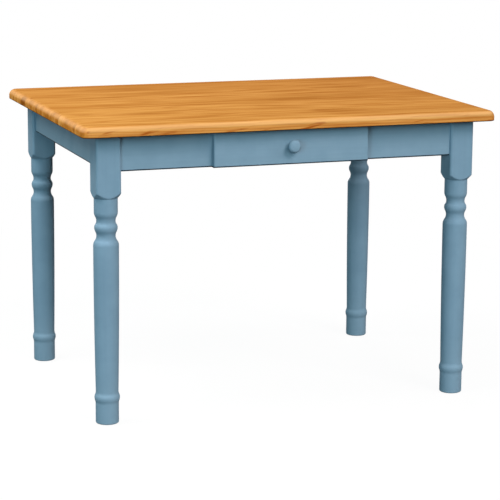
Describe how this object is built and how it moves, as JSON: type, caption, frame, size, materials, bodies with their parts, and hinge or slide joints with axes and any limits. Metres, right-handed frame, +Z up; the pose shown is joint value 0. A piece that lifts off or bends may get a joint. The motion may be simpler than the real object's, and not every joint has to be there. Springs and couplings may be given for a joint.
{
  "type": "kitchen table",
  "caption": "Kitchen table with a honey-stained glued-up wood top, slate-blue turned legs and aprons, and one drawer on wooden runners.",
  "frame": {"origin": "the point of the floor under the middle of the table top, level with the lowest faces of the foot glides", "axes": "+X along the table's length, to the right of a person who stands in front of the drawer; +Y from the drawer side to the back; +Z up"},
  "size_m": [1.1, 0.812, 0.762],
  "materials": {
    "honey_wood_top": "satin lacquer",
    "slate_blue_painted_wood": "satin paint",
    "unfinished_wood": "bare planed wood",
    "drawer_plywood": "bare sanded veneer",
    "zinc_steel": "zinc plated",
    "glide_plastic": "matte"
  },
  "bodies": {
    "table": {"top_stave_01": "honey_wood_top", "top_stave_02": "honey_wood_top", "top_stave_03": "honey_wood_top", "top_stave_04": "honey_wood_top", "top_stave_05": "honey_wood_top", "top_stave_06": "honey_wood_top", "top_stave_07": "honey_wood_top", "top_stave_08": "honey_wood_top", "top_stave_09": "honey_wood_top", "top_stave_10": "honey_wood_top", "leg_front_left": "slate_blue_painted_wood", "leg_front_right": "slate_blue_painted_wood", "leg_back_right": "slate_blue_painted_wood", "leg_back_left": "slate_blue_painted_wood", "glide_front_left": "glide_plastic", "glide_front_right": "glide_plastic", "glide_back_right": "glide_plastic", "glide_back_left": "glide_plastic", "left_end_apron": "slate_blue_painted_wood", "right_end_apron": "slate_blue_painted_wood", "back_apron": "slate_blue_painted_wood", "front_apron_left": "slate_blue_painted_wood", "front_apron_right": "slate_blue_painted_wood", "front_lower_rail": "slate_blue_painted_wood", "front_upper_rail": "slate_blue_painted_wood", "corner_brace_front_left": "unfinished_wood", "corner_brace_front_right": "unfinished_wood", "corner_brace_back_right": "unfinished_wood", "corner_brace_back_left": "unfinished_wood", "left_top_cleat": "unfinished_wood", "right_top_cleat": "unfinished_wood", "back_top_cleat": "unfinished_wood", "left_drawer_runner": "unfinished_wood", "right_drawer_runner": "unfinished_wood", "left_drawer_guide": "unfinished_wood", "right_drawer_guide": "unfinished_wood", "left_drawer_kicker": "unfinished_wood", "right_drawer_kicker": "unfinished_wood", "drawer_stop": "unfinished_wood", "hanger_bolts": "zinc_steel", "hanger_bolt_washers": "zinc_steel", "hanger_bolt_nuts": "zinc_steel", "brace_screws": "zinc_steel", "top_screws": "zinc_steel"},
    "drawer": {"drawer_front": "slate_blue_painted_wood", "drawer_knob": "slate_blue_painted_wood", "drawer_left_side": "unfinished_wood", "drawer_right_side": "unfinished_wood", "drawer_box_front": "unfinished_wood", "drawer_back": "unfinished_wood", "drawer_bottom": "drawer_plywood", "knob_screw": "zinc_steel", "drawer_front_screws": "zinc_steel"}
  },
  "joints": [
    {"name": "drawer_slide", "type": "slide", "parent": "table", "child": "drawer", "axis": [0, -1, 0], "range_m": [0, 0.29]}
  ]
}
